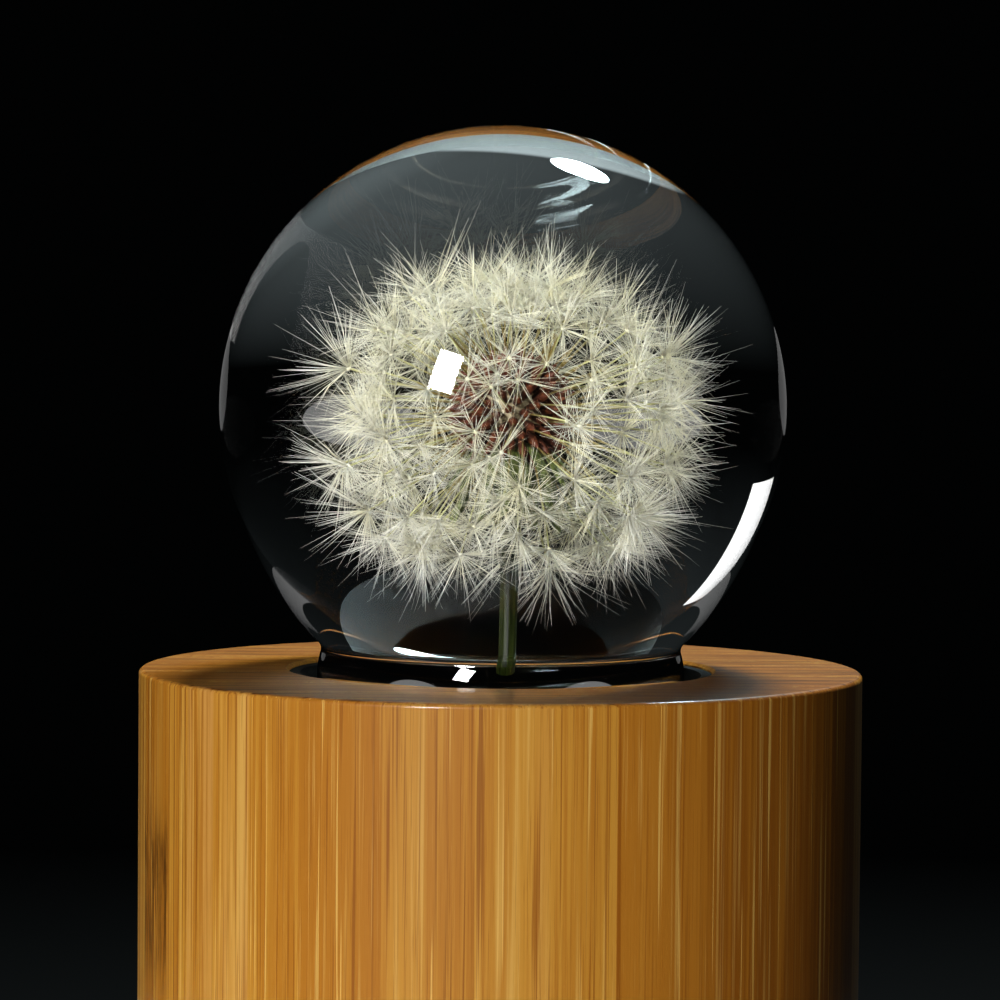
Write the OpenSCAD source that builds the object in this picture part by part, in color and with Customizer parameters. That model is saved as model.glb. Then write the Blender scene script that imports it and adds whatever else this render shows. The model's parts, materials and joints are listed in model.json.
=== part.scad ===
// Dandelion paperweight: a clear cast ball with a dandelion clock inside it,
// seated on a soft liner in the top of a round laminated bamboo plinth.
// Millimetres, +Z up, origin at the centre of the pad's underside.

/* [Plinth] */
// Diameter of the bamboo plinth
plinth_d = 102; // [90:1:120]
// Height of the bamboo plinth without its pad
plinth_h = 60; // [20:1:90]
// Rounding of the plinth's top and bottom rims
rim_r = 0.7; // [0.3:0.1:2]
// Thickness of one bamboo layer
layer_t = 4.87; // [4.7:0.01:5.2]

/* [Seat] */
// Diameter of the recess in the plinth's top
recess_d = 60; // [58:1:64]
// Depth of the recess
recess_depth = 4; // [3:0.5:8]
// Bevel of the recess's mouth
mouth_bevel = 0.4; // [0.2:0.1:0.8]
// Thickness of the liner's floor and wall
liner_t = 1.5; // [1:0.1:1.8]
// How far the liner's top edge lies below the plinth's top
liner_drop = 0.6; // [0.3:0.1:1]
// Gap between the liner and the recess's wall
liner_gap = 0.1; // [0.05:0.01:0.1]

/* [Pad] */
// Diameter of the foam rubber pad under the plinth
pad_d = 94; // [70:1:98]
// Thickness of the foam rubber pad
pad_t = 1; // [0.5:0.1:3]

/* [Ball] */
// Radius of the clear ball
ball_r = 40; // [38:0.5:42]
// Radius of the fuller lower flank of the ball
flank_r = 50; // [48:1:54]
// Depth below the ball's centre where the fuller flank starts
flank_drop = 9; // [8:0.1:12]
// Radius of the hollow between ball and foot
neck_r = 1.4; // [1.2:0.1:2]
// Smallest radius of the neck
waist_r = 25.45; // [25.3:0.05:25.8]
// Radius of the foot
foot_r = 26; // [26:0.1:26.5]
// Radius of the foot's gently rounded side, seen in section
bead_r = 12; // [10:0.5:14]
// Height of the ball's centre above its foot's underside
centre_h = 39.1; // [38.8:0.1:39.6]
// Rounding of the foot's lower edge
foot_edge_r = 0.8; // [0.4:0.1:1]

/* [Dandelion] */
// Number of seeds in the clock
seed_count = 150; // [60:10:200]
// Largest angle between a seed and the upward direction
seed_reach = 138; // [100:1:150]
// Half the width of the clock
clock_r = 19.8; // [16:0.1:22]
// Half the height of the clock
clock_half_h = 17.4; // [15:0.1:20]
// Radius of the dome that carries the seeds
dome_r = 3; // [2.5:0.1:4]
// Length of a seed's brown body
achene_l = 3.4; // [3:0.1:4]
// Radius of a seed's brown body
achene_r = 0.45; // [0.3:0.05:0.6]
// Radius of a seed's pale beak
beak_r = 0.11; // [0.08:0.01:0.2]
// Radius of a seed's tuft
tuft_r = 2.5; // [2:0.1:2.8]
// Height of a seed's tuft
tuft_h = 1.4; // [1:0.1:2]
// Radius of the flower's hollow stem
stem_r = 0.85; // [0.6:0.05:1.5]
// Wall of the stem
stem_wall = 0.35; // [0.2:0.05:0.5]
// Number of bracts in each of the two rings
bract_count = 13; // [8:1:16]
// Length of an outer bract
outer_bract_l = 8.5; // [6:0.5:11]
// Length of an inner bract
inner_bract_l = 6.5; // [5:0.5:9]
// Width of a bract at its base
bract_w = 1.5; // [1:0.1:2]
// Thickness of a bract
bract_t = 0.3; // [0.2:0.05:0.5]

/* [Hidden] */
$fn = 96;
golden_angle = 180 * (3 - sqrt(5));
plinth_r = plinth_d / 2;
recess_r = recess_d / 2;
layer_count = 2 * ceil(plinth_r / layer_t);
plinth_top = pad_t + plinth_h;
recess_floor = plinth_top - recess_depth;
foot_z = recess_floor + liner_t;
centre_z = foot_z + centre_h;

// The ball's outline, with heights counted from the ball's centre. Each arc meets the next
// one tangentially, so the centres of two neighbouring arcs and their meeting point lie in line.
hair = 0.02;
join_r = sqrt(ball_r * ball_r - flank_drop * flank_drop);
flank_x = join_r * (1 - flank_r / ball_r);
flank_z = -flank_drop * (1 - flank_r / ball_r);
neck_x = waist_r + neck_r;
neck_z = flank_z - sqrt(pow(flank_r + neck_r, 2) - pow(neck_x - flank_x, 2));
neck_top_z = neck_z + neck_r * (flank_z - neck_z) / (flank_r + neck_r);
bead_x = foot_r - bead_r;
bead_z = neck_z - sqrt(pow(neck_r + bead_r, 2) - pow(neck_x - bead_x, 2));
neck_low_z = neck_z + neck_r * (bead_z - neck_z) / (neck_r + bead_r);

// The seeds point away from the clock's centre, a golden angle apart
clock_z = centre_z - 0.2;
seed_up = [for (i = [0:seed_count - 1]) 1 - (i + 0.5) / seed_count * (1 - cos(seed_reach))];
collar_z = clock_z - dome_r * 1.6;

function two_digits(n) = n < 10 ? str("0", n) : str(n);
function layer_name(n) = str("bamboo_layer_", two_digits(n));
// Distance from the clock's centre to its outline, at an angle with this cosine from straight up
function clock_reach(up) = 1 / sqrt((1 - up * up) / pow(clock_r, 2) + up * up / pow(clock_half_h, 2));

// Half section of the plinth, with its rims rounded and the bevelled recess cut out
module plinth_section() {
    difference() {
        union() {
            square([plinth_r - rim_r, plinth_h]);
            translate([0, rim_r]) square([plinth_r, plinth_h - 2 * rim_r]);
            for (z = [rim_r, plinth_h - rim_r]) translate([plinth_r - rim_r, z]) circle(r = rim_r);
        }
        polygon([
            [-1, plinth_h - recess_depth],
            [recess_r, plinth_h - recess_depth],
            [recess_r, plinth_h - mouth_bevel],
            [recess_r + mouth_bevel, plinth_h],
            [recess_r + mouth_bevel, plinth_h + 1],
            [-1, plinth_h + 1]
        ]);
    }
}

// One bamboo layer, a slab of the plinth that lies parallel to the XZ plane
module bamboo_layer(n) {
    front = (n - 1 - layer_count / 2) * layer_t;
    color(n % 2 == 0 ? "BurlyWood" : "Peru") intersection() {
        translate([0, 0, pad_t]) rotate_extrude($fn = 256) plinth_section();
        translate([-plinth_d, front, 0]) cube([2 * plinth_d, layer_t, 2 * plinth_h]);
    }
}

module non_slip_pad() {
    color("DarkSlateGray") cylinder(r = pad_d / 2, h = pad_t);
}

// Shallow soft cup that lies loose in the recess and carries the ball's foot
module seat_liner() {
    outer_r = recess_r - liner_gap;
    color("DimGray") translate([0, 0, recess_floor]) difference() {
        cylinder(r = outer_r, h = recess_depth - liner_drop);
        translate([0, 0, liner_t]) cylinder(r = outer_r - liner_t, h = recess_depth);
    }
}

// The part of a 2D shape that lies between two heights, on the +X side
module band(low, high) {
    intersection() {
        translate([0, low]) square([ball_r + 1, high - low]);
        children();
    }
}

// Half section of the ball, with its origin at the ball's centre. Neighbouring arcs cross
// by a hair instead of only touching, and each straight piece ends inside its neighbours.
module ball_section() {
    foot_low = -centre_h;
    inner_r = foot_r - foot_edge_r;
    band(-2 * flank_drop, ball_r) circle(r = ball_r);
    difference() {
        union() {
            band(neck_z, -flank_drop) translate([flank_x, flank_z]) circle(r = flank_r - hair);
            translate([0, neck_low_z]) square([neck_x, neck_top_z - neck_low_z]);
            band(foot_low + foot_edge_r, neck_z) translate([bead_x, bead_z]) circle(r = bead_r);
            translate([0, foot_low]) square([inner_r, neck_z - foot_low]);
            translate([0, foot_low + foot_edge_r]) square([foot_r, max(hair, bead_z - foot_low - foot_edge_r)]);
            translate([inner_r, foot_low + foot_edge_r]) circle(r = foot_edge_r);
        }
        translate([neck_x, neck_z]) circle(r = neck_r + 2 * hair);
    }
}

// The cast ball with its neck and foot, all one clear piece
module clear_ball() {
    color("AliceBlue", 0.3) translate([0, 0, centre_z]) rotate_extrude($fn = 180) ball_section();
}

module flower_stem() {
    length = collar_z - foot_z - 0.5;
    color("OliveDrab") translate([0, 0, foot_z + 0.5]) difference() {
        cylinder(r = stem_r, h = length, $fn = 32);
        translate([0, 0, -1]) cylinder(r = stem_r - stem_wall, h = length + 2, $fn = 32);
    }
}

// The dome that the seeds stand on, narrowing to the stem below
module receptacle() {
    color("Tan") {
        translate([0, 0, clock_z]) sphere(r = dome_r, $fn = 48);
        translate([0, 0, collar_z]) cylinder(r1 = stem_r, r2 = dome_r, h = clock_z - collar_z, $fn = 48);
    }
}

// A leaf-shaped blade that grows from the origin along +X, as wide as it is at its base until halfway
module bract(length) {
    linear_extrude(bract_t) {
        polygon([
            [0, -bract_w / 2],
            [length / 2, -bract_w / 2],
            [length, 0],
            [length / 2, bract_w / 2],
            [0, bract_w / 2]
        ]);
    }
}

// A ring of bracts bent back under the clock, tipped down by an angle
module bract_ring(length, tip_down, ring_z, turn) {
    for (i = [0:bract_count - 1]) {
        rotate([0, 0, turn + i * 360 / bract_count]) translate([stem_r + 0.9, 0, ring_z]) {
            rotate([0, tip_down, 0]) bract(length);
        }
    }
}

module inner_bracts() {
    color("DarkOliveGreen") bract_ring(inner_bract_l, 60, collar_z + 1.7, 0);
}

module outer_bracts() {
    color("OliveDrab") bract_ring(outer_bract_l, 75, collar_z + 1.2, 180 / bract_count);
}

// Turns +Z to the direction of seed i and moves out to a distance from the clock's centre
module along_seed(i, distance) {
    translate([0, 0, clock_z]) rotate([0, acos(seed_up[i]), i * golden_angle]) {
        translate([0, 0, distance]) children();
    }
}

// Brown seed bodies, thickest at two thirds of their length
module achenes() {
    color("SaddleBrown") for (i = [0:seed_count - 1]) along_seed(i, dome_r) {
        rotate_extrude($fn = 24) polygon([
            [0, 0],
            [achene_r / 2, 0],
            [achene_r, achene_l * 0.65],
            [beak_r, achene_l],
            [0, achene_l]
        ]);
    }
}

// Thin stalks between the seed bodies and their tufts
module beaks() {
    start = dome_r + achene_l;
    color("PaleGoldenrod") for (i = [0:seed_count - 1]) along_seed(i, start) {
        cylinder(r = beak_r, h = clock_reach(seed_up[i]) - tuft_h - start, $fn = 16);
    }
}

// The tufts as plain cones, each the outer shape of one star of bristles
module pappus() {
    color("Ivory") for (i = [0:seed_count - 1]) along_seed(i, clock_reach(seed_up[i]) - tuft_h) {
        cylinder(r1 = 2 * beak_r, r2 = tuft_r, h = tuft_h, $fn = 24);
    }
}

for (n = [1:layer_count]) bamboo_layer(n);
non_slip_pad();
seat_liner();
clear_ball();
flower_stem();
receptacle();
inner_bracts();
outer_bracts();
achenes();
beaks();
pappus();
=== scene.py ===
"""A clear ball paperweight with a dandelion clock inside, on a laminated bamboo plinth.

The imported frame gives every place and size. Metres, +Z up, and the photographed side faces -Y.
"""

import json
import math
import random

import bpy
from mathutils import Matrix, Vector

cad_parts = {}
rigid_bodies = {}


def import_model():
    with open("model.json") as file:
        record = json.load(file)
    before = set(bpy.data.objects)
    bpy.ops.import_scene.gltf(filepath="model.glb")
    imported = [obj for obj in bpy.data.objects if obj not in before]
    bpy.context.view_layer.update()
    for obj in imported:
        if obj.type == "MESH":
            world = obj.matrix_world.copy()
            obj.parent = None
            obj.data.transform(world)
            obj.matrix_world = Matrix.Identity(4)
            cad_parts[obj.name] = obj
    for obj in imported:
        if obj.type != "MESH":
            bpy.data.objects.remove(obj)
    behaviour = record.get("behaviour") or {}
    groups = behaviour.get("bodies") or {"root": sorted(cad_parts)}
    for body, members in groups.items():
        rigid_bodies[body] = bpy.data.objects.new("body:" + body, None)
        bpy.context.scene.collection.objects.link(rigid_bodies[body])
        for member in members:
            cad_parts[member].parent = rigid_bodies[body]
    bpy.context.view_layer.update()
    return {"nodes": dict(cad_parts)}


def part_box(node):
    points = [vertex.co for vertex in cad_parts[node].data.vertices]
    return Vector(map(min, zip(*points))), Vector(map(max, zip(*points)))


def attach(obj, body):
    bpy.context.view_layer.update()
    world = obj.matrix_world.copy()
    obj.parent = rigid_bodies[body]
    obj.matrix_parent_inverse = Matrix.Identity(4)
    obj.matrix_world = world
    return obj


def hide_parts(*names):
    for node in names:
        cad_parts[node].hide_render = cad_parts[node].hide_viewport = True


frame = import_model()

MM = 0.001
UP = Vector((0, 0, 1))
CAD_DOME_R = 3.0 * MM  # the CAD receptacle's radius, from its top to the seeds' centre
random.seed(7)

# The frame's places
LAYERS = sorted(name for name in frame["nodes"] if name.startswith("bamboo_layer_"))
PLINTH_LOW, PLINTH_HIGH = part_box(LAYERS[len(LAYERS) // 2])
PLINTH_R = PLINTH_HIGH.x
LAYER_T = PLINTH_HIGH.y - PLINTH_LOW.y
BALL_LOW, BALL_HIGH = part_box("clear_ball")
BALL_R = BALL_HIGH.x
BALL_Z = BALL_HIGH.z - BALL_R
STEM_LOW, STEM_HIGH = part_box("flower_stem")
CLOCK_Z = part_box("receptacle")[1].z - CAD_DOME_R
CLOCK_R = 18.3 * MM
CLOCK_HALF_H = 16.8 * MM
LEAN = 0.8 * MM  # how far the flower's head stands to the right of the ball's axis


# ---------------------------------------------------------------- mesh helpers

def add_mesh(name, verts, faces, material):
    """A smooth mesh object made of points and faces."""
    mesh = bpy.data.meshes.new(name)
    mesh.from_pydata(verts, [], faces)
    mesh.validate()
    mesh.polygons.foreach_set("use_smooth", [True] * len(mesh.polygons))
    mesh.materials.append(material)
    made = bpy.data.objects.new(name, mesh)
    bpy.context.scene.collection.objects.link(made)
    return made


def add_piece(name, verts, faces, material, body):
    """A mesh object that rides on a body."""
    piece = add_mesh(name, verts, faces, material)
    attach(piece, body)
    return piece


def across(direction):
    """Two unit vectors at right angles to a direction and to each other."""
    side = direction.cross(Vector((1, 0, 0)) if abs(direction.x) < 0.7 else Vector((0, 1, 0)))
    side.normalize()
    return side, direction.cross(side).normalized()


def add_tube(verts, faces, points, radii, sides, turn=0.0, ribs=None):
    """Adds a closed tube along points to verts and faces. ribs, if given, scales the radius of each side."""
    first = len(verts)
    last = len(points) - 1
    for k, point in enumerate(points):
        direction = (points[min(k + 1, last)] - points[max(k - 1, 0)]).normalized()
        if k == 0:
            side, other = across(direction)
        else:
            side = (side - direction * side.dot(direction)).normalized()
            other = direction.cross(side)
        for s in range(sides):
            angle = turn + 2 * math.pi * s / sides
            reach = radii[k] * (ribs[s] if ribs else 1.0)
            verts.append(point + (side * math.cos(angle) + other * math.sin(angle)) * reach)
    for k in range(last):
        for s in range(sides):
            a = first + k * sides + s
            b = first + k * sides + (s + 1) % sides
            faces.append((a, b, b + sides, a + sides))
    faces.append(tuple(first + s for s in reversed(range(sides))))
    faces.append(tuple(first + last * sides + s for s in range(sides)))


def arc(centre, radius, start, end, steps):
    """Points of an arc in the half section, from one angle to another, in degrees."""
    x, z = centre
    turns = [math.radians(start + (end - start) * k / steps) for k in range(steps + 1)]
    return [(x + radius * math.cos(t), z + radius * math.sin(t)) for t in turns]


def lathe(outline, segments):
    """Turns a half section from the axis to the axis round +Z into points and faces."""
    verts = [Vector((0, 0, outline[0][1]))]
    for r, z in outline[1:-1]:
        for s in range(segments):
            angle = 2 * math.pi * s / segments
            verts.append(Vector((r * math.cos(angle), r * math.sin(angle), z)))
    verts.append(Vector((0, 0, outline[-1][1])))
    rings = len(outline) - 2
    faces = []
    for s in range(segments):
        t = (s + 1) % segments
        faces.append((0, 1 + s, 1 + t))
        for k in range(rings - 1):
            a = 1 + k * segments
            faces.append((a + s, a + segments + s, a + segments + t, a + t))
        a = 1 + (rings - 1) * segments
        faces.append((a + t, a + s, len(verts) - 1))
    return verts, faces


# ---------------------------------------------------------------- node helpers

class Nodes:
    """Short calls that add nodes to a tree."""

    def __init__(self, tree):
        self.tree = tree

    def node(self, kind, **settings):
        made = self.tree.nodes.new(kind)
        for name, value in settings.items():
            setattr(made, name, value)
        return made

    def feed(self, socket, value):
        if isinstance(value, bpy.types.NodeSocket):
            self.tree.links.new(value, socket)
        else:
            socket.default_value = value

    def maths(self, operation, *values):
        made = self.node("ShaderNodeMath", operation=operation)
        for socket, value in zip(made.inputs, values):
            self.feed(socket, value)
        return made.outputs[0]

    def split(self, vector):
        made = self.node("ShaderNodeSeparateXYZ")
        self.feed(made.inputs[0], vector)
        return made.outputs

    def ramp(self, value, low, high, start=0.0, end=1.0, curve="LINEAR"):
        """start below low, end above high and a ramp between. low may be the larger one."""
        made = self.node("ShaderNodeMapRange", interpolation_type=curve)
        self.feed(made.inputs["Value"], value)
        for socket, number in zip(("From Min", "From Max", "To Min", "To Max"), (low, high, start, end)):
            made.inputs[socket].default_value = number
        return made.outputs["Result"]


class Shader(Nodes):
    """A material with a Principled surface, and short calls for the nodes that feed it."""

    def __init__(self, name, **sockets):
        self.material = bpy.data.materials.new(name)
        self.material.use_nodes = True
        super().__init__(self.material.node_tree)
        self.surface = self.tree.nodes["Principled BSDF"]
        for socket, value in sockets.items():
            self.surface.inputs[socket.replace("_", " ")].default_value = value
        self.place = self.node("ShaderNodeTexCoord").outputs["Object"]
        self.facing = self.node("ShaderNodeTexCoord").outputs["Normal"]

    def scaled(self, x, y, z, shift=(0, 0, 0)):
        """The place in millimetres, stretched along each axis."""
        made = self.node("ShaderNodeMapping")
        self.feed(made.inputs["Vector"], self.place)
        made.inputs["Scale"].default_value = (x / MM, y / MM, z / MM)
        made.inputs["Location"].default_value = shift
        return made.outputs[0]

    def noise(self, vector, detail=2.0, roughness=0.5):
        made = self.node("ShaderNodeTexNoise")
        self.feed(made.inputs["Vector"], vector)
        made.inputs["Scale"].default_value = 1.0
        made.inputs["Detail"].default_value = detail
        made.inputs["Roughness"].default_value = roughness
        return made.outputs[0]

    def cells(self, vector):
        made = self.node("ShaderNodeTexVoronoi")
        self.feed(made.inputs["Vector"], vector)
        made.inputs["Scale"].default_value = 1.0
        return made.outputs["Distance"]

    def chance(self, value):
        """A number from 0 to 1 that is fixed for each value."""
        made = self.node("ShaderNodeTexWhiteNoise", noise_dimensions="1D")
        self.feed(made.inputs["W"], value)
        return made.outputs["Value"]

    def between(self, value, low, high):
        """0 below low, 1 above high and smooth between. With low above high it falls instead."""
        return self.ramp(value, low, high, curve="SMOOTHSTEP")

    def mix(self, share, a, b, blend="MIX"):
        made = self.node("ShaderNodeMix", data_type="RGBA", blend_type=blend)
        self.feed(made.inputs["Factor"], share)
        for name, value in (("A", a), ("B", b)):
            socket = next(s for s in made.inputs if s.name == name and s.type == "RGBA")
            self.feed(socket, value if isinstance(value, bpy.types.NodeSocket) else (*value, 1.0))
        return next(s for s in made.outputs if s.type == "RGBA")

    def colour(self, value):
        self.feed(self.surface.inputs["Base Color"], value)

    def bump(self, height, depth, strength=1.0):
        """Raises the surface by depth, in millimetres, where height is 1."""
        made = self.node("ShaderNodeBump")
        made.inputs["Strength"].default_value = strength
        made.inputs["Distance"].default_value = depth * MM
        self.feed(made.inputs["Height"], height)
        self.feed(self.surface.inputs["Normal"], made.outputs[0])


# ---------------------------------------------------------------- materials

GOLD = (0.67, 0.305, 0.036)
PEACH = (0.70, 0.330, 0.075)
ORANGE = (0.53, 0.195, 0.016)
PALE_LINE = (0.84, 0.48, 0.110)
BROWN_LINE = (0.34, 0.100, 0.006)
DARK_BROWN = (0.11, 0.032, 0.003)
END_BROWN = (0.42, 0.150, 0.020)
RESIN_INDEX = 1.61  # of refraction, chosen for the look
STRIP_W = 30.0  # the bamboo strips in a layer, side by side along X
STRIP_START = -16.2
SIDE_TONES_AND_PAINTED_SHADE = {  # layer: left tone, and right tone with painted shade, pale at 0 to brown at 1.6
    2: (1.0, 1.0),
    3: (0.6, 1.35),
    4: (0.25, 1.6),
    5: (0.35, 1.6),
    6: (0.45, 1.6),
    7: (0.8, 1.6),
    8: (1.1, 1.6),
}
NODE_STAINS = {  # layer: middle X, half width and middle Z of its dark node, in millimetres
    7: (-46.6, 3.4, 31.0),
    8: (-47.9, 4.0, 31.0),
    14: (47.0, 5.0, 22.0),
}
STAIN_HALF_H = 17.0  # millimetres from a node's middle to where it has faded out
STAIN_CORE = 4.0  # and to where it starts to fade


def bamboo(index):
    """One layer's bamboo: fine lines along Z on the sides, and dotted end grain on the top."""
    shade = Shader(
        f"bamboo_{index:02d}",
        Roughness=0.45,
        Specular_IOR_Level=0.25,
        Coat_Weight=0.5,
        Coat_Roughness=0.07,
    )
    own = random.Random(index)
    seed = index * 17.3  # moves each layer's patterns apart
    place = shade.split(shade.scaled(1, 1, 1))
    fine = shade.noise(shade.scaled(4.5, 4.5, 0.05, (0, 0, seed)), 3.0, 0.7)
    lines = shade.noise(shade.scaled(1.5, 1.5, 0.012, (seed, seed, 0)), 2.0, 0.7)
    sides = side_grain(shade, index, own, seed, place, lines, fine)
    ends = end_grain(shade, index, own, seed, place, sides)
    faces_up = shade.between(shade.maths("ABSOLUTE", shade.split(shade.facing)[2]), 0.6, 0.9)
    shade.colour(shade.mix(faces_up, sides, ends))
    shade.bump(shade.maths("ADD", fine, shade.between(lines, 0.3, 0.6)), 0.012, 0.5)
    return shade.material


def side_grain(shade, index, own, seed, place, lines, fine):
    """The colour along the bamboo: strips of different tone, lines, seams, dark nodes, and painted shade on
    the right of some layers.
    """
    x, _, z = place
    shift = 0.0 if index < 3 else own.uniform(0, STRIP_W)
    strip = shade.maths("DIVIDE", shade.maths("ADD", x, shift - STRIP_START + 10 * STRIP_W), STRIP_W)
    tone_and_painted_shade = shade.chance(shade.maths("ADD", shade.maths("FLOOR", strip), seed))
    if index in SIDE_TONES_AND_PAINTED_SHADE:
        # These layers are painted browner on their right half: painted shade of the plinth's side away from
        # the key light.
        painted_shade_right = shade.maths("GREATER_THAN", x, 0.0)
        left, right = SIDE_TONES_AND_PAINTED_SHADE[index]
        tone_and_painted_shade = shade.maths("ADD", left, shade.maths("MULTIPLY", painted_shade_right, right - left))
    broad = shade.noise(shade.scaled(0.22, 0.22, 0.008, (seed, 0, 0)), 2.0)
    medium = shade.noise(shade.scaled(0.8, 0.8, 0.010, (0, seed, 0)), 2.0, 0.6)

    warmth_and_painted_shade = shade.maths("ADD", tone_and_painted_shade, shade.maths("MULTIPLY", shade.maths("SUBTRACT", broad, 0.5), 1.2))
    base = shade.mix(shade.between(warmth_and_painted_shade, 0.0, 0.55), PEACH, GOLD)
    base = shade.mix(shade.between(warmth_and_painted_shade, 0.45, 1.0), base, ORANGE)
    base = shade.mix(shade.maths("MULTIPLY", shade.between(warmth_and_painted_shade, 1.0, 1.5), 0.8), base, BROWN_LINE)
    base = shade.mix(shade.maths("MULTIPLY", shade.between(medium, 0.48, 0.66), 0.85), base, ORANGE)
    base = shade.mix(shade.maths("MULTIPLY", shade.between(medium, 0.45, 0.30), 0.6), base, PALE_LINE)
    base = shade.mix(shade.maths("MULTIPLY", shade.between(lines, 0.56, 0.68), 0.85), base, BROWN_LINE)
    base = shade.mix(shade.maths("MULTIPLY", shade.between(lines, 0.38, 0.30), 0.9), base, PALE_LINE)
    base = shade.mix(shade.maths("MULTIPLY", shade.between(fine, 0.55, 0.68), 0.5), base, BROWN_LINE)
    base = shade.mix(shade.maths("MULTIPLY", shade.between(fine, 0.38, 0.28), 0.3), base, PALE_LINE)
    seam = shade.maths("ABSOLUTE", shade.maths("SUBTRACT", shade.maths("FRACT", strip), 0.5))
    base = shade.mix(shade.maths("MULTIPLY", shade.between(seam, 0.493, 0.498), 0.6), base, BROWN_LINE)
    if index in NODE_STAINS:
        base = stained(shade, base, x, z, *NODE_STAINS[index])
    return base


def end_grain(shade, index, own, seed, place, sides):
    """The colour of the cut ends: fibre dots, denser towards one face of the layer, and dark glue lines."""
    low_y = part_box(LAYERS[index - 1])[0].y / MM
    depth = shade.maths("DIVIDE", shade.maths("SUBTRACT", place[1], low_y), LAYER_T / MM)
    dense = shade.between(depth, 0.1, 0.95) if own.random() < 0.5 else shade.between(depth, 0.9, 0.05)
    dots = shade.cells(shade.scaled(1.9, 1.9, 0.004, (seed, 0, 0)))
    ends = shade.mix(shade.between(dots, 0.50, 0.20), END_BROWN, BROWN_LINE)
    ends = shade.mix(shade.maths("MULTIPLY", dense, own.uniform(0.6, 1.0)), sides, ends)
    ends = shade.mix(own.choice((0.3, 0.5, 0.8)), ends, END_BROWN)
    from_middle = shade.maths("ABSOLUTE", shade.maths("SUBTRACT", depth, 0.5))
    ends = shade.mix(shade.between(from_middle, 0.44, 0.49), ends, DARK_BROWN)
    bands = shade.noise(shade.scaled(0.04, 1.1, 0.004, (0, 0, seed)), 3.0, 0.6)
    return shade.mix(shade.maths("MULTIPLY", shade.between(bands, 0.50, 0.64), 0.75), ends, DARK_BROWN)


def stained(shade, base, x, z, middle_x, half_w, middle_z):
    """A bamboo node: a short dark streaky patch."""
    streaks = shade.noise(shade.scaled(2.6, 2.6, 0.09), 3.0, 0.7)
    off_x = shade.maths("ABSOLUTE", shade.maths("SUBTRACT", x, middle_x))
    off_z = shade.maths("ABSOLUTE", shade.maths("SUBTRACT", z, middle_z))
    wide = shade.between(off_x, half_w, half_w * 0.6)
    tall = shade.between(off_z, STAIN_HALF_H, STAIN_CORE)
    patch = shade.maths("MULTIPLY", wide, tall)
    return shade.mix(shade.maths("MULTIPLY", patch, shade.between(streaks, 0.38, 0.62)), base, DARK_BROWN)


def clear_resin():
    """The ball's polished resin, with a trace of tint."""
    shade = Shader("clear_resin", Roughness=0.0, IOR=RESIN_INDEX, Transmission_Weight=1.0)
    shade.surface.inputs["Base Color"].default_value = (0.985, 0.99, 0.99, 1.0)
    return shade.material


def soft_foam(name, dark, light):
    """Foam rubber with open pores."""
    shade = Shader(name, Roughness=0.85, Specular_IOR_Level=0.1)
    pores = shade.cells(shade.scaled(2.2, 2.2, 2.2))
    cloud = shade.noise(shade.scaled(0.3, 0.3, 0.3), 3.0)
    shade.colour(shade.mix(shade.maths("MULTIPLY", shade.between(pores, 0.1, 0.6), cloud), dark, light))
    shade.bump(shade.between(pores, 0.05, 0.35), 0.06, 0.7)
    return shade.material


def from_clock_centre(shade):
    """The distance from the clock's centre, in millimetres."""
    made = shade.node("ShaderNodeVectorMath", operation="DISTANCE")
    shade.feed(made.inputs[0], shade.place)
    made.inputs[1].default_value = (LEAN, 0, CLOCK_Z)
    return shade.maths("DIVIDE", made.outputs["Value"], MM)


def bristle_white():
    """Silky bristles: creamy in patches, and painted whitest near their tips as light on the clock's outer
    edge.
    """
    shade = Shader("pappus_white", Roughness=0.27, Specular_IOR_Level=1.0, Sheen_Weight=0.3)
    patches = shade.noise(shade.scaled(0.35, 0.35, 0.35), 2.0)
    fine = shade.noise(shade.scaled(3.0, 3.0, 3.0), 1.0)
    base = shade.mix(shade.between(patches, 0.35, 0.65), (0.91, 0.89, 0.73), (0.80, 0.76, 0.50))
    base = shade.mix(shade.maths("MULTIPLY", shade.between(fine, 0.5, 0.75), 0.4), base, (0.68, 0.62, 0.36))
    # Whiter from 15 to 19.5 mm out: painted light on the outer tips and painted shade deeper in the clock.
    base = shade.mix(shade.between(from_clock_centre(shade), 15.0, 19.5), base, (0.94, 0.92, 0.82))
    shade.colour(base)
    return shade.material


def beak_straw():
    """The stalks, brown at the seed and straw green further out."""
    shade = Shader("beak_straw", Roughness=0.45)
    reach = shade.between(from_clock_centre(shade), 6.0, 12.0)
    fine = shade.noise(shade.scaled(1.2, 1.2, 1.2), 2.0)
    base = shade.mix(reach, (0.26, 0.15, 0.04), (0.50, 0.48, 0.22))
    shade.colour(shade.mix(shade.maths("MULTIPLY", fine, 0.5), base, (0.28, 0.30, 0.08)))
    return shade.material


def achene_brown():
    """The seed bodies, red brown, painted nearly black towards the dome as shade among the packed seeds."""
    shade = Shader("achene_brown", Roughness=0.55)
    spots = shade.noise(shade.scaled(1.6, 1.6, 1.6), 3.0)
    # Nearly black at the dome: painted shade among the packed seed bodies.
    reach = shade.between(from_clock_centre(shade), 3.2, 6.2)
    base = shade.mix(reach, (0.020, 0.006, 0.003), (0.13, 0.030, 0.010))
    shade.colour(shade.mix(shade.between(spots, 0.50, 0.75), base, (0.24, 0.07, 0.02)))
    shade.bump(spots, 0.05, 0.6)
    return shade.material


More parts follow.
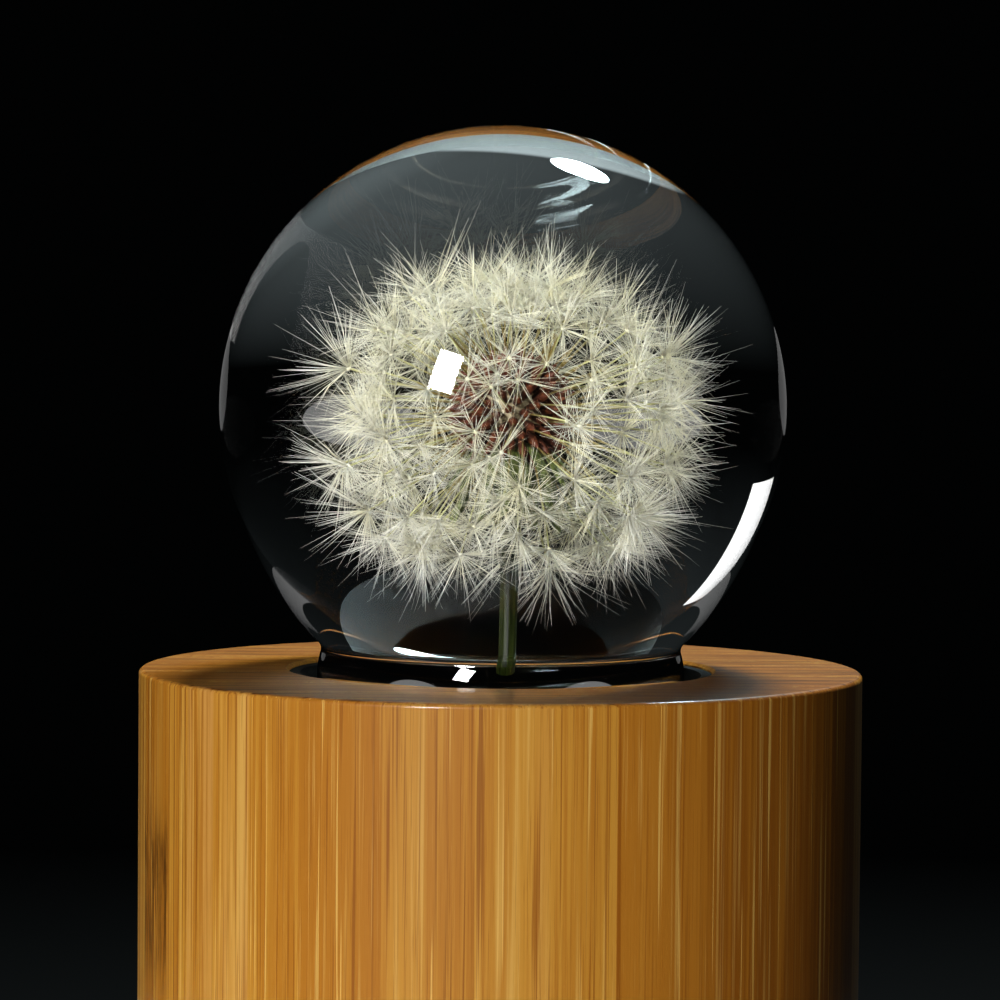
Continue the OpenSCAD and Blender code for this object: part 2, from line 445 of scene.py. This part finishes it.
def green(name, dark, light, dry, gloss=0.5):
    """Plant green with veins along Z and dry patches."""
    shade = Shader(name, Roughness=0.38, Specular_IOR_Level=gloss)
    veins = shade.noise(shade.scaled(3.0, 3.0, 0.12), 2.0)
    patches = shade.noise(shade.scaled(0.5, 0.5, 0.15), 3.0)
    base = shade.mix(shade.between(veins, 0.35, 0.65), dark, light)
    shade.colour(shade.mix(shade.maths("MULTIPLY", shade.between(patches, 0.5, 0.75), 0.7), base, dry))
    shade.bump(veins, 0.05, 0.5)
    return shade.material


def dome_tan():
    """The pitted dome that the seeds leave."""
    shade = Shader("receptacle_tan", Roughness=0.7)
    pits = shade.cells(shade.scaled(1.6, 1.6, 1.6))
    shade.colour(shade.mix(shade.between(pits, 0.1, 0.5), (0.13, 0.08, 0.04), (0.42, 0.34, 0.20)))
    shade.bump(pits, 0.1, 0.6)
    return shade.material


def floor_pale():
    """The stage's board."""
    shade = Shader("floor_pale", Roughness=0.6)
    cloud = shade.noise(shade.scaled(0.02, 0.02, 0.02), 2.0)
    shade.colour(shade.mix(cloud, (0.76, 0.81, 0.82), (0.80, 0.84, 0.85)))
    return shade.material


# ---------------------------------------------------------------- the ball

FLANK_R = 50.0 * MM
FLANK_DROP = 9.0 * MM
NECK_R = 1.4 * MM
WAIST_R = 25.45 * MM
FOOT_R = 26.0 * MM
BEAD_R = 12.0 * MM
FOOT_EDGE_R = 0.8 * MM
FOOT_LIFT = 0.03 * MM  # keeps the foot's face clear of the liner's


def ball_outline():
    """The ball's half section from its top to its underside, with heights from its centre."""
    join_r = math.sqrt(BALL_R**2 - FLANK_DROP**2)
    flank = (join_r * (1 - FLANK_R / BALL_R), -FLANK_DROP * (1 - FLANK_R / BALL_R))
    neck_x = WAIST_R + NECK_R
    neck = (neck_x, flank[1] - math.sqrt((FLANK_R + NECK_R) ** 2 - (neck_x - flank[0]) ** 2))
    bead_x = FOOT_R - BEAD_R
    bead = (bead_x, neck[1] - math.sqrt((NECK_R + BEAD_R) ** 2 - (neck_x - bead_x) ** 2))
    low = BALL_LOW.z - BALL_Z + FOOT_LIFT

    def angle(a, b):
        return math.degrees(math.atan2(b[1] - a[1], b[0] - a[0]))

    join = math.degrees(math.atan2(-FLANK_DROP, join_r))
    to_neck = angle(flank, neck)
    to_bead = angle(neck, bead)
    outline = arc((0, 0), BALL_R, 90, join, 110)
    outline += arc(flank, FLANK_R, join, to_neck, 40)[1:]
    outline += arc(neck, NECK_R, to_neck + 180, to_bead + 360, 20)[1:]
    outline += arc(bead, BEAD_R, to_bead + 180, 0, 10)[1:]
    outline += arc((FOOT_R - FOOT_EDGE_R, low + FOOT_EDGE_R), FOOT_EDGE_R, 0, -90, 10)
    flat = outline[-1][0]
    outline += [(flat * share, low) for share in (0.9, 0.75, 0.5, 0.25, 0)]
    return [(r, BALL_Z + z) for r, z in outline]


def make_ball():
    """The ball with its neck and foot, turned from one outline."""
    verts, faces = lathe(ball_outline(), 256)
    ball = add_piece("clear_ball_cast", verts, faces, clear_resin(), "ball")
    ball.cycles.is_caustics_caster = True
    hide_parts("clear_ball")


# ---------------------------------------------------------------- the dandelion

SEED_COUNT = 150
SEED_REACH = 156.0  # the largest angle between a seed and straight up, in degrees
GOLDEN_ANGLE = math.pi * (3 - math.sqrt(5))
DOME_R = 2.7 * MM
ACHENE_L = 3.1 * MM
BUNCHES = 22  # of bristles on each seed
FINE_HAIRS = 16
BRISTLE_L = 5.2 * MM
THIN_WAY = Vector((0.04, -0.99, 0.06))  # the tufts round this direction have fewer bristles
THIN_START = 0.86  # the cosine of the angle round it
THIN_FULLNESS = 0.70
LOW_START = -0.45  # the tufts whose direction's Z part is below this are fuller and larger
LOW_FULLNESS = 1.3
LOW_SIZE = 1.15
TIERS = ("upper", "middle", "lower")
FLOWER_PIECES = ("bristles_", "seed_", "receptacle_dome", "bracts_", "stem_ribbed")


def clock_reach(up):
    """The distance from the seeds' centre to the clock's outline, for a direction with this Z part.

    The outline is an ellipse that is a little flatter on top and fuller below.
    """
    low = max(0.0, -up)
    stretch = 1 - 0.07 * up + 0.10 * low**2
    return stretch / math.sqrt((1 - up * up) / CLOCK_R**2 + up * up / CLOCK_HALF_H**2)


def seed_directions():
    """The seeds' directions from their centre, spread evenly from straight up to SEED_REACH."""
    directions = []
    for i in range(SEED_COUNT):
        up = 1 - (i + 0.5) / SEED_COUNT * (1 - math.cos(math.radians(SEED_REACH)))
        flat = math.sqrt(1 - up * up)
        turn = i * GOLDEN_ANGLE
        directions.append(Vector((flat * math.cos(turn), flat * math.sin(turn), up)))
    return directions


def wobble(direction, amount):
    """The direction, tipped at random by up to about amount radians."""
    side, other = across(direction)
    tipped = direction + side * random.uniform(-amount, amount) + other * random.uniform(-amount, amount)
    return tipped.normalized()


def add_bristle(verts, faces, hub, axis, turn, open_angle, length, thick):
    """One bristle from a tuft's hub, bent a little, with a fine tip."""
    side, other = across(axis)
    out = side * math.cos(turn) + other * math.sin(turn)
    direction = axis * math.cos(open_angle) + out * math.sin(open_angle)
    bend = axis * random.uniform(-0.30, 0.22) + direction.cross(out) * random.uniform(-0.18, 0.18)
    points = [hub + (direction * t + bend * t * t) * length for t in (0.02, 0.5, 1.0)]
    add_tube(verts, faces, points, (thick, thick * 0.9, thick * 0.25), 3, turn)


def add_hub(verts, faces, hub, axis):
    """The small pale knob that a tuft's bristles grow from."""
    points = [hub + axis * lift * MM for lift in (-0.16, -0.06, 0.08, 0.16)]
    add_tube(verts, faces, points, [size * MM for size in (0.10, 0.26, 0.24, 0.08)], 8)


def add_tuft(verts, faces, hub, axis, size, fullness):
    """One star of bristles. They spread from its hub in small bunches, with a few fine hairs between."""
    add_hub(verts, faces, hub, axis)
    spread = random.uniform(0.8, 1.1)
    for b in range(round(BUNCHES * fullness)):
        turn = b * GOLDEN_ANGLE + random.uniform(-0.5, 0.5)
        outward = math.sqrt((b + 0.5) / (BUNCHES * fullness))
        open_angle = (30 + 58 * outward) * spread + random.uniform(-14, 14)
        length = BRISTLE_L * size * random.uniform(0.72, 1.12)
        for _ in range(random.choice((1, 2, 2, 3, 5))):
            add_bristle(
                verts, faces, hub, axis, turn + random.gauss(0, 0.06),
                math.radians(open_angle + random.gauss(0, 3.5)),
                length * random.uniform(0.84, 1.06), random.choice((0.016, 0.023, 0.037)) * MM,
            )
    for _ in range(round(FINE_HAIRS * fullness)):
        add_bristle(
            verts, faces, hub, axis, random.uniform(0, 2 * math.pi), math.radians(random.uniform(15, 88)),
            BRISTLE_L * size * random.uniform(0.9, 1.3), 0.016 * MM,
        )


def make_seeds():
    """The seed bodies, their beaks and their tufts. Each seed is tipped a little off its own direction."""
    achenes, beaks = ([], []), ([], [])
    tufts = {tier: ([], []) for tier in TIERS}
    centre = Vector((LEAN, 0, CLOCK_Z))
    for direction in seed_directions():
        body_way = wobble(direction, 0.06)
        foot = centre + direction * DOME_R
        add_achene(*achenes, foot, body_way)
        shoulder = foot + body_way * ACHENE_L
        reach = clock_reach(direction.z) - (3.0 + random.triangular(-0.6, 4.5, 0.4)) * MM
        hub = centre + wobble(direction, 0.15) * reach
        middle = (shoulder + hub) / 2 + wobble(direction, 1.0) * 0.3 * MM
        add_tube(*beaks, [shoulder, middle, hub], (0.11 * MM, 0.08 * MM, 0.09 * MM), 6)
        tier = TIERS[min(2, int((1 - direction.z) / (1 - math.cos(math.radians(SEED_REACH))) * 3))]
        axis = wobble((hub - middle).normalized(), 0.55)
        is_low = direction.z < LOW_START
        fullness = LOW_FULLNESS if is_low else 1.0
        if direction.dot(THIN_WAY) > THIN_START:
            fullness = THIN_FULLNESS
        size = random.uniform(0.80, 1.15) * (LOW_SIZE if is_low else 1.0)
        add_tuft(*tufts[tier], hub, axis, size, fullness)
    body = add_piece("seed_bodies", *achenes, achene_brown(), "ball")
    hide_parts("achenes")
    stalks = add_piece("seed_beaks", *beaks, beak_straw(), "ball")
    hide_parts("beaks")
    white = bristle_white()
    for tier in TIERS:
        star = add_piece(f"bristles_{tier}", *tufts[tier], white, "ball")
        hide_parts("pappus")


def add_achene(verts, faces, foot, way):
    """One ribbed seed body, narrow at its foot and spiny at its shoulder."""
    shape = ((0, 0.35), (0.25, 0.75), (0.5, 0.95), (0.68, 1.0), (0.82, 0.75), (0.92, 0.35), (1.0, 0.24))
    points = [foot + way * ACHENE_L * share for share, _ in shape]
    radii = [0.45 * MM * size for _, size in shape]
    add_tube(verts, faces, points, radii, 10, random.uniform(0, 3), ribs=(1.0, 0.78) * 5)
    side, other = across(way)
    for k in range(5):
        turn = 2 * math.pi * k / 5 + random.uniform(-0.3, 0.3)
        out = side * math.cos(turn) + other * math.sin(turn)
        start = foot + way * ACHENE_L * random.uniform(0.62, 0.8) + out * 0.34 * MM
        tip = start + (out * 0.28 + way * 0.35) * MM
        add_tube(verts, faces, [start, tip], (0.07 * MM, 0.01 * MM), 4)


def make_receptacle():
    """The dome, which narrows below into a collar on the stem."""
    low = -DOME_R * 1.6
    outline = arc((0, 0), DOME_R * 0.98, 90, -40, 24)
    outline += [(DOME_R * 0.55, -DOME_R * 0.95), (DOME_R * 0.36, -DOME_R * 1.35), (0.84 * MM, low), (0, low)]
    verts, faces = lathe([(r, CLOCK_Z + z) for r, z in outline], 40)
    verts = [v + Vector((LEAN, 0, 0)) for v in verts]
    dome = add_piece("receptacle_dome", verts, faces, dome_tan(), "ball")
    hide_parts("receptacle")


def add_bract(verts, faces, root, turn, length, width, droop, curl):
    """One leafy bract: a thin keeled blade that starts outward and bends down."""
    out = Vector((math.cos(turn), math.sin(turn), 0))
    side = Vector((-math.sin(turn), math.cos(turn), 0))
    steps, lanes = 12, 5
    first = len(verts)
    point = Vector(root) + out * 1.5 * MM
    for k in range(steps + 1):
        share = k / steps
        bent = droop * (0.25 + 0.75 * min(1.0, share * 2.2))
        pitch = math.radians(bent - curl * max(0.0, share - 0.6) * 2.5)
        way = out * math.cos(pitch) - UP * math.sin(pitch)
        lift = side.cross(way)
        half = width / 2 * (0.75 + 0.5 * share) * math.sqrt(max(0.02, 1 - share**2.4))
        for face_side in (0.5, -0.5):
            for lane in range(lanes):
                across_share = lane / (lanes - 1) * 2 - 1
                keel = 0.22 * half * (1 - abs(across_share))
                edge = 0.25 if abs(across_share) == 1 else 1.0
                depth = keel - face_side * 0.22 * MM * edge
                verts.append(point + side * half * across_share - lift * depth)
        point = point + way * length / steps
    ring = 2 * lanes
    loop = list(range(lanes)) + [lanes + n for n in reversed(range(lanes))]
    for k in range(steps):
        for n in range(ring):
            a, b = loop[n], loop[(n + 1) % ring]
            low, high = first + k * ring, first + (k + 1) * ring
            faces.append((low + a, low + b, high + b, high + a))
    faces.append(tuple(first + n for n in reversed(loop)))
    faces.append(tuple(first + steps * ring + n for n in loop))


def make_bracts():
    """Two rings of bracts, each half a step round from the other."""
    rings = (  # name, node, offset, length, width, droop, curl, height
        ("bracts_inner", "inner_bracts", 0.0, 6.6, 1.5, 62, 6, CLOCK_Z - 2.7 * MM),
        ("bracts_outer", "outer_bracts", 0.5, 8.6, 1.6, 76, 22, CLOCK_Z - 3.7 * MM),
    )
    leaf = green("bract_green", (0.035, 0.050, 0.010), (0.12, 0.15, 0.035), (0.24, 0.20, 0.08))
    count = 13
    for name, node, offset, length, width, droop, curl, height in rings:
        verts, faces = [], []
        for i in range(count):
            turn = (i + offset) * 2 * math.pi / count + random.uniform(-0.08, 0.08)
            add_bract(
                verts, faces, (LEAN, 0, height), turn,
                length * MM * random.uniform(0.85, 1.05), width * MM,
                droop + random.uniform(-8, 6), curl * random.uniform(0.3, 1.4),
            )
        ring = add_piece(name, verts, faces, leaf, "ball")
        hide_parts(node)


def make_stem():
    """The hollow stem, with shallow ribs and a slightly uneven width."""
    sides, steps = 36, 28
    outer, inner = STEM_HIGH.x, STEM_HIGH.x - 0.35 * MM
    verts, faces = [], []
    for wall in (outer, inner):
        for k in range(steps + 1):
            share = k / steps
            z = STEM_LOW.z + (STEM_HIGH.z - STEM_LOW.z) * share
            for s in range(sides):
                rib = 1 + 0.035 * math.cos(s * 2 * math.pi / 4) + 0.02 * math.sin(9 * share + s * 0.35)
                reach = wall * (rib - 0.055) if wall == outer else wall
                angle = 2 * math.pi * s / sides
                bend = LEAN * (0.5 + 0.5 * share)
                verts.append(Vector((reach * math.cos(angle) + bend, reach * math.sin(angle), z)))
    shell = (steps + 1) * sides
    for k in range(steps):
        for s in range(sides):
            t = (s + 1) % sides
            a, b = k * sides, (k + 1) * sides
            faces.append((a + s, a + t, b + t, b + s))
            faces.append((shell + a + t, shell + a + s, shell + b + s, shell + b + t))
    for s in range(sides):
        t = (s + 1) % sides
        top = steps * sides
        faces.append((s, shell + s, shell + t, t))
        faces.append((top + t, shell + top + t, shell + top + s, top + s))
    skin = green(
        "stem_green", (0.003, 0.005, 0.001), (0.015, 0.021, 0.003), (0.030, 0.026, 0.006), gloss=0.06,
    )
    stem = add_piece("stem_ribbed", verts, faces, skin, "ball")
    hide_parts("flower_stem")


# ---------------------------------------------------------------- CAD nodes that stay

def dress(node, material):
    """Gives a CAD node its material."""
    slots = frame["nodes"][node].data.materials
    slots.clear()
    slots.append(material)


def dress_nodes():
    """Materials for the bamboo layers, the liner and the pad."""
    for index, name in enumerate(LAYERS, 1):
        dress(name, bamboo(index))
    dress("seat_liner", soft_foam("liner_foam", (0.006, 0.006, 0.006), (0.022, 0.022, 0.022)))
    dress("non_slip_pad", soft_foam("pad_foam", (0.02, 0.02, 0.02), (0.07, 0.07, 0.07)))


# ---------------------------------------------------------------- stage

def make_floor():
    """A pale round board, small enough to stay out of the photograph's view."""
    radius, thick, edge = 92 * MM, 6 * MM, 1.5 * MM
    outline = [(0, 0), (radius * 0.6, 0)]
    outline += arc((radius - edge, -edge), edge, 90, 0, 8)
    outline += arc((radius - edge, -thick + edge), edge, 0, -90, 8)
    outline += [(0, -thick)]
    add_mesh("floor", *lathe(outline, 160), floor_pale())


# Lights: the direction from the ball, the distance and the size, in metres
KEY = (-0.376, -0.886, 0.262), 1.60, (0.27, 0.43)
LOW_KEY = (-0.43, -0.90, 0.06), 1.60, (0.40, 0.49)
SIDE = (-0.814, 0.362, 0.454), 0.80, (0.28, 0.40)
FLOWER_TOP = (0.262, 0.504, 0.825), 0.90, (0.20, 0.17)
WOOD_TOP = (0.10, 0.52, 0.85), 0.90, (0.20, 0.17)
FILL = (0.50, -0.84, -0.20), 1.20, (0.9, 0.9)
FLOOR_SIDE = (-0.75, 0.35, 0.40), 0.42, (0.20, 0.20)
COOL = (0.93, 0.98, 1.0)
CYAN = (0.74, 0.97, 1.0)
RIM_TURN = 22  # degrees from straight behind the ball to the pale glows on either side
RIM_LIFT = 0.015
RIM_SHAPE = 0.32  # height over width
RIMS = ((0.39, 0.020), (0.32, 0.018), (0.24, 0.012))  # width and power, three in one place for a soft edge


def group(name, objects):
    """A collection of objects, for light linking."""
    made = bpy.data.collections.new(name)
    for obj in objects:
        made.objects.link(obj)
    return made


def add_light(name, where, power, lit, roll=0.0, tint=(1, 1, 1), is_round=False, seen=True):
    """A soft light that faces the ball and lights some objects. The camera doesn't see it directly.

    With seen off, it doesn't show in glossy surfaces either.
    """
    direction, distance, size = where
    middle = Vector((0, 0, BALL_Z))
    lamp = bpy.data.lights.new(name, "AREA")
    lamp.shape = "ELLIPSE" if is_round else "RECTANGLE"
    lamp.size, lamp.size_y = size
    lamp.energy = power
    lamp.color = tint
    obj = bpy.data.objects.new(name, lamp)
    bpy.context.scene.collection.objects.link(obj)
    obj.location = middle + Vector(direction).normalized() * distance
    facing = (middle - obj.location).to_track_quat("-Z", "Y").to_matrix()
    obj.rotation_euler = (facing @ Matrix.Rotation(math.radians(roll), 3, "Z")).to_euler()
    obj.visible_camera = False
    obj.visible_glossy = seen
    obj.light_linking.receiver_collection = group(f"{name}_lit", lit)
    return obj


def light_flower(flower):
    """The flower has its own lights, which the clear resin round it doesn't block."""
    lights = (
        add_light("flower_key", KEY, 36.0, flower, roll=-15.0),
        add_light("flower_top", FLOWER_TOP, 2.0, flower, tint=COOL, is_round=True),
        add_light("flower_side", SIDE, 0.68, flower),
        add_light("flower_fill", FILL, 6.0, flower),
    )
    for obj in lights:
        obj.light_linking.blocker_collection = group(f"{obj.name}_blockers", flower)


def light_others(others):
    """The key and top lights are each split, one for gloss and one for the wood. The board has its own."""
    wood = [o for o in others if not o.name.startswith(("clear_ball", "floor"))]
    board = [o for o in others if o.name == "floor"]
    key_shine = add_light("key_shine", KEY, 20.0, others, roll=-15.0)
    key_shine.visible_diffuse = False
    key_shine.visible_transmission = False
    low = add_light("key_low", LOW_KEY, 20.0, wood, roll=-12.0, seen=False)
    side = add_light("side", SIDE, 0.68, others, seen=False)
    top_shine = add_light("top_shine", FLOWER_TOP, 11.5, others, tint=CYAN, is_round=True)
    top_shine.visible_diffuse = False
    add_light("floor_light", FLOOR_SIDE, 2.2, board, tint=CYAN, is_round=True, seen=False)
    top = add_light("top", WOOD_TOP, 13.0, wood, tint=COOL, is_round=True, seen=False)
    top.visible_transmission = False
    for obj in (low, side, top):
        obj.data.cycles.is_caustics_light = True


def add_rims(ball):
    """Faint glows behind the ball, which give the pale edges beside its neck."""
    for turn in (-RIM_TURN, RIM_TURN):
        away = (math.sin(math.radians(turn)), math.cos(math.radians(turn)), RIM_LIFT)
        for size, power in RIMS:
            where = (away, 1.00, (size, size * RIM_SHAPE))
            add_light(f"rim_{turn}_{size}", where, power, ball, is_round=True)


def make_lights():
    """All the lights. The CAD nodes are left out of mirror reflections, to keep the ball's flank dark."""
    for node in frame["nodes"].values():
        node.cycles.is_caustics_receiver = True
        node.visible_glossy = False
    flower = [o for o in bpy.context.scene.objects if o.name.startswith(FLOWER_PIECES)]
    others = [o for o in bpy.context.scene.objects if o.type == "MESH" and o not in flower]
    light_flower(flower)
    light_others(others)
    add_rims([o for o in others if o.name.startswith("clear_ball")])


POOL_EDGE = 0.842, 0.858  # where the pale pool below starts and is full, along its tilted axis
POOL_LEVEL = 0.62
GLOW_EDGE = 0.74, 0.86
GLOW_LEVEL = 0.06
ROOM_LEVEL = 0.0006


def make_room():
    """A dark room: nearly black round the horizon, with a grey ground, a pale pool and a faint glow below."""
    world = bpy.data.worlds.new("room")
    bpy.context.scene.world = world
    world.use_nodes = True
    room = Nodes(world.node_tree)
    x, _, z = room.split(room.node("ShaderNodeTexCoord").outputs["Generated"])
    down = room.ramp(z, -0.14, -0.8)
    right = room.ramp(x, -0.5, 0.5, 0.05, 0.12)
    slope = room.maths("MULTIPLY_ADD", x, -0.12, room.maths("MULTIPLY", z, -1.0))
    pool = room.ramp(slope, *POOL_EDGE, 0.0, POOL_LEVEL)
    low_right = room.maths("MULTIPLY_ADD", x, 0.5, room.maths("MULTIPLY", z, -0.8))
    glow = room.ramp(low_right, *GLOW_EDGE, 0.0, GLOW_LEVEL)
    ground = room.maths("MULTIPLY_ADD", down, right, ROOM_LEVEL)
    level = room.maths("ADD", ground, room.maths("MAXIMUM", pool, glow))
    back = room.tree.nodes["Background"]
    room.feed(back.inputs["Strength"], level)
    back.inputs["Color"].default_value = (0.80, 0.97, 1.0, 1.0)


def make_camera():
    """A long lens a little above the plinth's top, tipped down and rolled slightly."""
    lens = bpy.data.cameras.new("camera")
    lens.sensor_width = 36.0
    lens.lens = 130.0
    lens.clip_start = 0.01
    camera = bpy.data.objects.new("camera", lens)
    bpy.context.scene.collection.objects.link(camera)
    distance = 510 * MM
    aside = -0.3 * MM
    above = 46.3 * MM
    pitch = math.radians(90 - 2.52)
    roll = math.radians(0.5)
    camera.location = (aside, -distance, PLINTH_HIGH.z + above)
    camera.rotation_euler = (Matrix.Rotation(pitch, 3, "X") @ Matrix.Rotation(roll, 3, "Z")).to_euler()
    bpy.context.scene.camera = camera
    bpy.context.scene.view_settings.view_transform = "Standard"


make_camera()
make_floor()
dress_nodes()
make_ball()
make_seeds()
make_receptacle()
make_bracts()
make_stem()
make_room()
make_lights()
